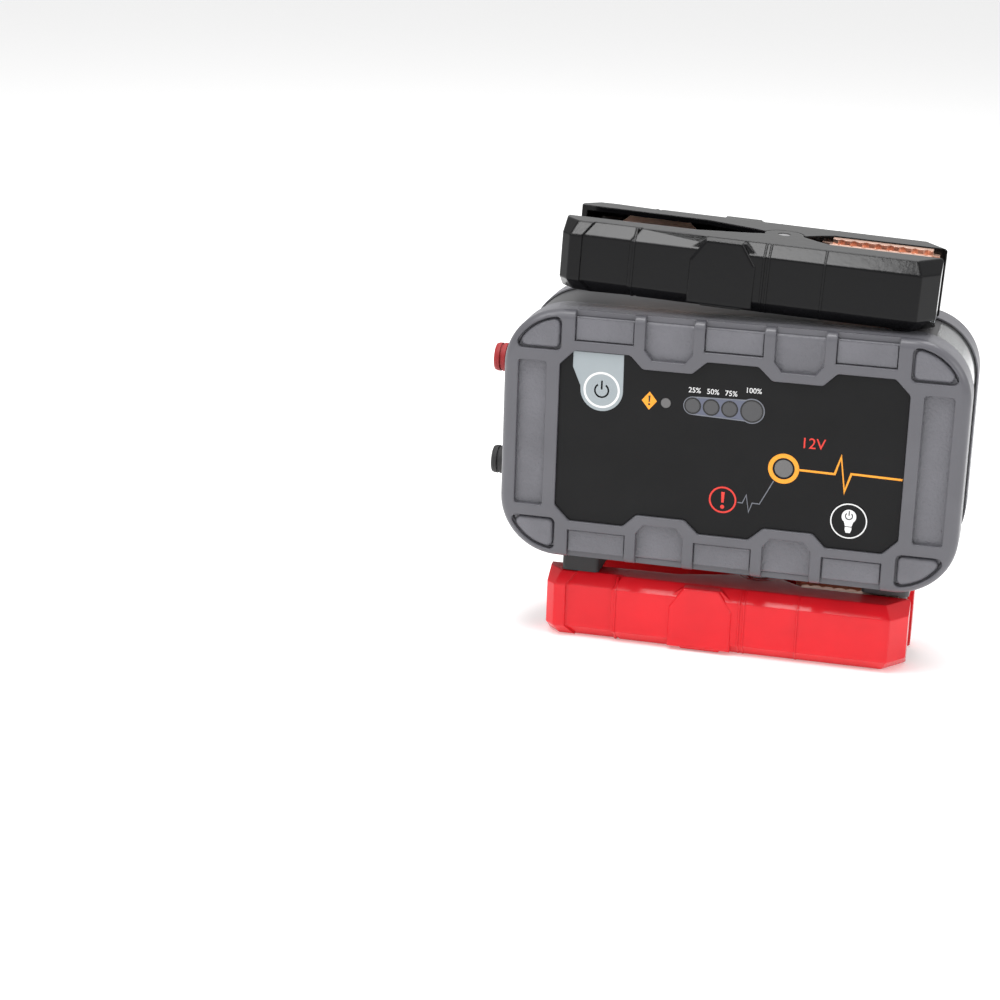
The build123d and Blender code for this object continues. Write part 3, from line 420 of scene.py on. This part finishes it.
# ---- Left end, rear and inside
# The ports sit behind a rubber flap, beside a red and a black lead gland. Screws and pins are
# plain steel, the boards carry black components, and the cells are wrapped in foil.
port_black = moulded("port black", (0.02, 0.02, 0.021), 0.42, depth=0.02)
cover_with(port_black, "port_block", "dc_socket", "power_relay", "cell_tray")
flap_rubber = moulded("flap rubber", (0.022, 0.022, 0.023), 0.62, grain=1500.0, depth=0.05)
cover_with(flap_rubber, "port_cover", "lower_rest_pad", "negative_gland")
gland_red = moulded("gland red", (0.34, 0.012, 0.014), 0.55, grain=1500.0, depth=0.04)
cover_with(gland_red, "positive_gland")
steel = moulded("steel", (0.52, 0.52, 0.53), 0.3, grain=1800.0, depth=0.01, Metallic=1.0)
cover_with(steel, "case_screws", "board_screws", "port_cover_pin", "usb_in_socket", "usb_out_socket",
           "black_clamp_pivot_pin", "red_clamp_pivot_pin", "black_clamp_spring", "red_clamp_spring")
resist_green = moulded("solder resist", (0.01, 0.09, 0.035), 0.3, grain=800.0, depth=0.02)
cover_with(resist_green, "light_board", "button_board", "control_board")
chip_black = moulded("chip black", (0.02, 0.02, 0.02), 0.5, depth=0.02)
cover_with(chip_black, "board_components", "button_switches")
foil = moulded("cell foil", (0.55, 0.55, 0.57), 0.35, grain=300.0, depth=0.1, Metallic=1.0)
cover_with(foil, "battery_cells")
dock_grey = moulded("dock grey", (0.05, 0.052, 0.055), 0.38, depth=0.02)
cover_with(dock_grey, "lower_dock_block")
post_grey = moulded("post grey", (0.30, 0.30, 0.31), 0.35, depth=0.02)
cover_with(post_grey, "upper_dock_post", "lower_dock_post")

# ---- Clamps
# Two halves of polished nylon turn about a steel pin. Each half holds a stamped copper jaw with
# a toothed rim, which carries the current past the plastic.
copper = moulded("copper", (0.95, 0.60, 0.47), 0.32, grain=650.0, depth=0.12, mottle=0.12,
                 edge=0.2, Metallic=1.0)
gloss_black = moulded("gloss black", (0.0035, 0.0035, 0.004), 0.13, grain=420.0, depth=0.03,
                      edge=0.8, Specular_IOR_Level=0.2)
gloss_red = moulded("gloss red", (0.74, 0.008, 0.016), 0.22, grain=420.0, depth=0.03,
                    edge=0.8, Specular_IOR_Level=0.4)
weld, ease_r, outer_from = 0.002 * mm, 0.9 * mm, 20.0 * mm
flat_below, sharp_above, shortest = math.radians(0.6), math.radians(20.0), 2.0 * mm
for colour, plastic in (("black", gloss_black), ("red", gloss_red)):
    for side in ("front", "rear"):
        cover_with(plastic, f"{colour}_clamp_{side}_handle")
        eased = bmesh.new()
        eased.from_mesh(frame["nodes"][f"{colour}_clamp_{side}_handle"].data)
        bmesh.ops.remove_doubles(eased, verts=eased.verts, dist=weld)
        bmesh.ops.dissolve_limit(eased, angle_limit=flat_below, verts=eased.verts,
                                 edges=eased.edges)
        sharp = [e for e in eased.edges if len(e.link_faces) == 2
                 and e.calc_face_angle() > sharp_above and e.calc_length() > shortest
                 and max(abs(v.co.y) for v in e.verts) > outer_from]
        bmesh.ops.bevel(eased, geom=sharp, offset=ease_r, offset_type="OFFSET", segments=3,
                        profile=0.5, affect="EDGES", material=-1, clamp_overlap=True)
        low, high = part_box(f"{colour}_clamp_{side}_handle")
        for v in eased.verts:
            v.co = [min(max(c, lowest), highest) for c, lowest, highest in zip(v.co, low, high)]
        data = bpy.data.meshes.new(f"{colour}_{side}_handle_eased")
        eased.to_mesh(data)
        eased.free()
        data.materials.clear()
        data.materials.append(plastic)
        shell = bpy.data.objects.new(f"{colour}_{side}_handle_eased", data)
        bpy.context.scene.collection.objects.link(shell)
        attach(shell, f"{colour}_{side}_half")
        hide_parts(f"{colour}_clamp_{side}_handle")
        cover_with(copper, f"{colour}_clamp_{side}_jaw")
    cover_with(copper, f"{colour}_clamp_lead_lug")
cover_with(copper, "positive_busbar", "negative_busbar")

# Each handle is stiffened by a raised arch over its hinge and by ridges that wrap its outside.
clamp_h, clamp_side, clamp_lie = 28.7, -26.0, 2.5
face_end, face_slope = 59.0, 1.0 / 143.0
ridge_places, lip_t = (-3.9, -1.9, -57.2, 20.5), 1.9
hinge_at = {j["name"].split("_")[0]: Vector(j["pos_m"]) for j in frame["joints"]
            if j["name"].endswith("front_squeeze")}
lies = {"black": (Matrix.Translation(hinge_at["black"])
                  @ Matrix.Rotation(math.radians(clamp_lie), 4, "Y")),
        "red": (Matrix.Translation(hinge_at["red"])
                @ Matrix.Rotation(math.radians(180.0), 4, "X"))}


def handle_face(x):
    """Outer face of a handle at x along it, in millimetres from its middle plane."""
    return clamp_side - (face_end - x) * face_slope


for colour, plastic in (("black", gloss_black), ("red", gloss_red)):
    for side, turn in (("front", 1.0), ("rear", -1.0)):
        relief = bmesh.new()
        arch = [(-34.0, 1.6), (-34.0, 19.5), (-28.0, 28.4), (-13.0, 28.4), (-7.0, 19.5), (-7.0, 1.6)]
        corners = [relief.verts.new((x * mm, (handle_face(x) - 0.75) * mm, z * mm)) for x, z in arch]
        raised = bmesh.ops.extrude_face_region(relief, geom=[relief.faces.new(corners)])
        bmesh.ops.translate(relief, vec=(0.0, 6.0 * mm, 0.0),
                            verts=[v for v in raised["geom"] if isinstance(v, bmesh.types.BMVert)])
        bmesh.ops.recalc_face_normals(relief, faces=relief.faces)
        outer = [e for e in relief.edges if all(v.co.y < (clamp_side - 0.3) * mm for v in e.verts)]
        bmesh.ops.bevel(relief, geom=outer, offset=1.1 * mm, offset_type="OFFSET", segments=3,
                        profile=0.5, affect="EDGES", material=-1)
        for x in ridge_places:
            wrap = [(21.3, 28.55), (26.05, 23.7), (26.05, 5.0), (21.3, 0.15)]
            band = []
            for reach, z in wrap:
                depth = handle_face(x) + (26.0 - reach)
                band.append([relief.verts.new(((x + dx) * mm, (depth + dy) * mm, z * mm))
                             for dx, dy in ((-0.8, 0.6), (-0.35, -0.35), (0.35, -0.35), (0.8, 0.6))])
            for low, high in zip(band, band[1:]):
                for n in range(3):
                    relief.faces.new((low[n], low[n + 1], high[n + 1], high[n]))
                relief.faces.new((low[3], low[0], high[0], high[3]))
            relief.faces.new(band[0])
            relief.faces.new(list(reversed(band[-1])))
        lips = bmesh.new()
        teeth = [(60.6, 9.6), (60.6, 4.7)]
        for n in range(8):
            teeth += [(59.6 - 5.0 * n, 4.7), (58.2 - 5.0 * n, 6.4), (56.8 - 5.0 * n, 4.7)]
        teeth += [(19.5, 6.0), (19.5, 9.6)]
        for low in (26.3, 0.5):
            flat = lips.faces.new([lips.verts.new((x * mm, -y * mm, low * mm)) for x, y in teeth])
            grown = bmesh.ops.extrude_face_region(lips, geom=[flat])
            bmesh.ops.translate(lips, vec=(0.0, 0.0, lip_t * mm),
                                verts=[v for v in grown["geom"] if isinstance(v, bmesh.types.BMVert)])
        if colour == "red":
            bmesh.ops.scale(relief, vec=(1.0, 1.0, -1.0), verts=relief.verts)
            bmesh.ops.translate(relief, vec=(0.0, 0.0, clamp_h * mm), verts=relief.verts)
        for made, title, finish, kind in ((relief, "relief", plastic, f"clamp_{colour}"),
                                          (lips, "jaw_lips", copper, "copper")):
            if (turn < 0) != (colour == "red"):
                bmesh.ops.scale(made, vec=(1.0, -1.0, 1.0), verts=made.verts)
            bmesh.ops.recalc_face_normals(made, faces=made.faces)
            data = bpy.data.meshes.new(f"{colour}_{side}_{title}")
            made.to_mesh(data)
            made.free()
            data.transform(lies[colour])
            data.materials.append(finish)
            piece = bpy.data.objects.new(f"{colour}_{side}_{title}", data)
            bpy.context.scene.collection.objects.link(piece)
            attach(piece, f"{colour}_{side}_half")
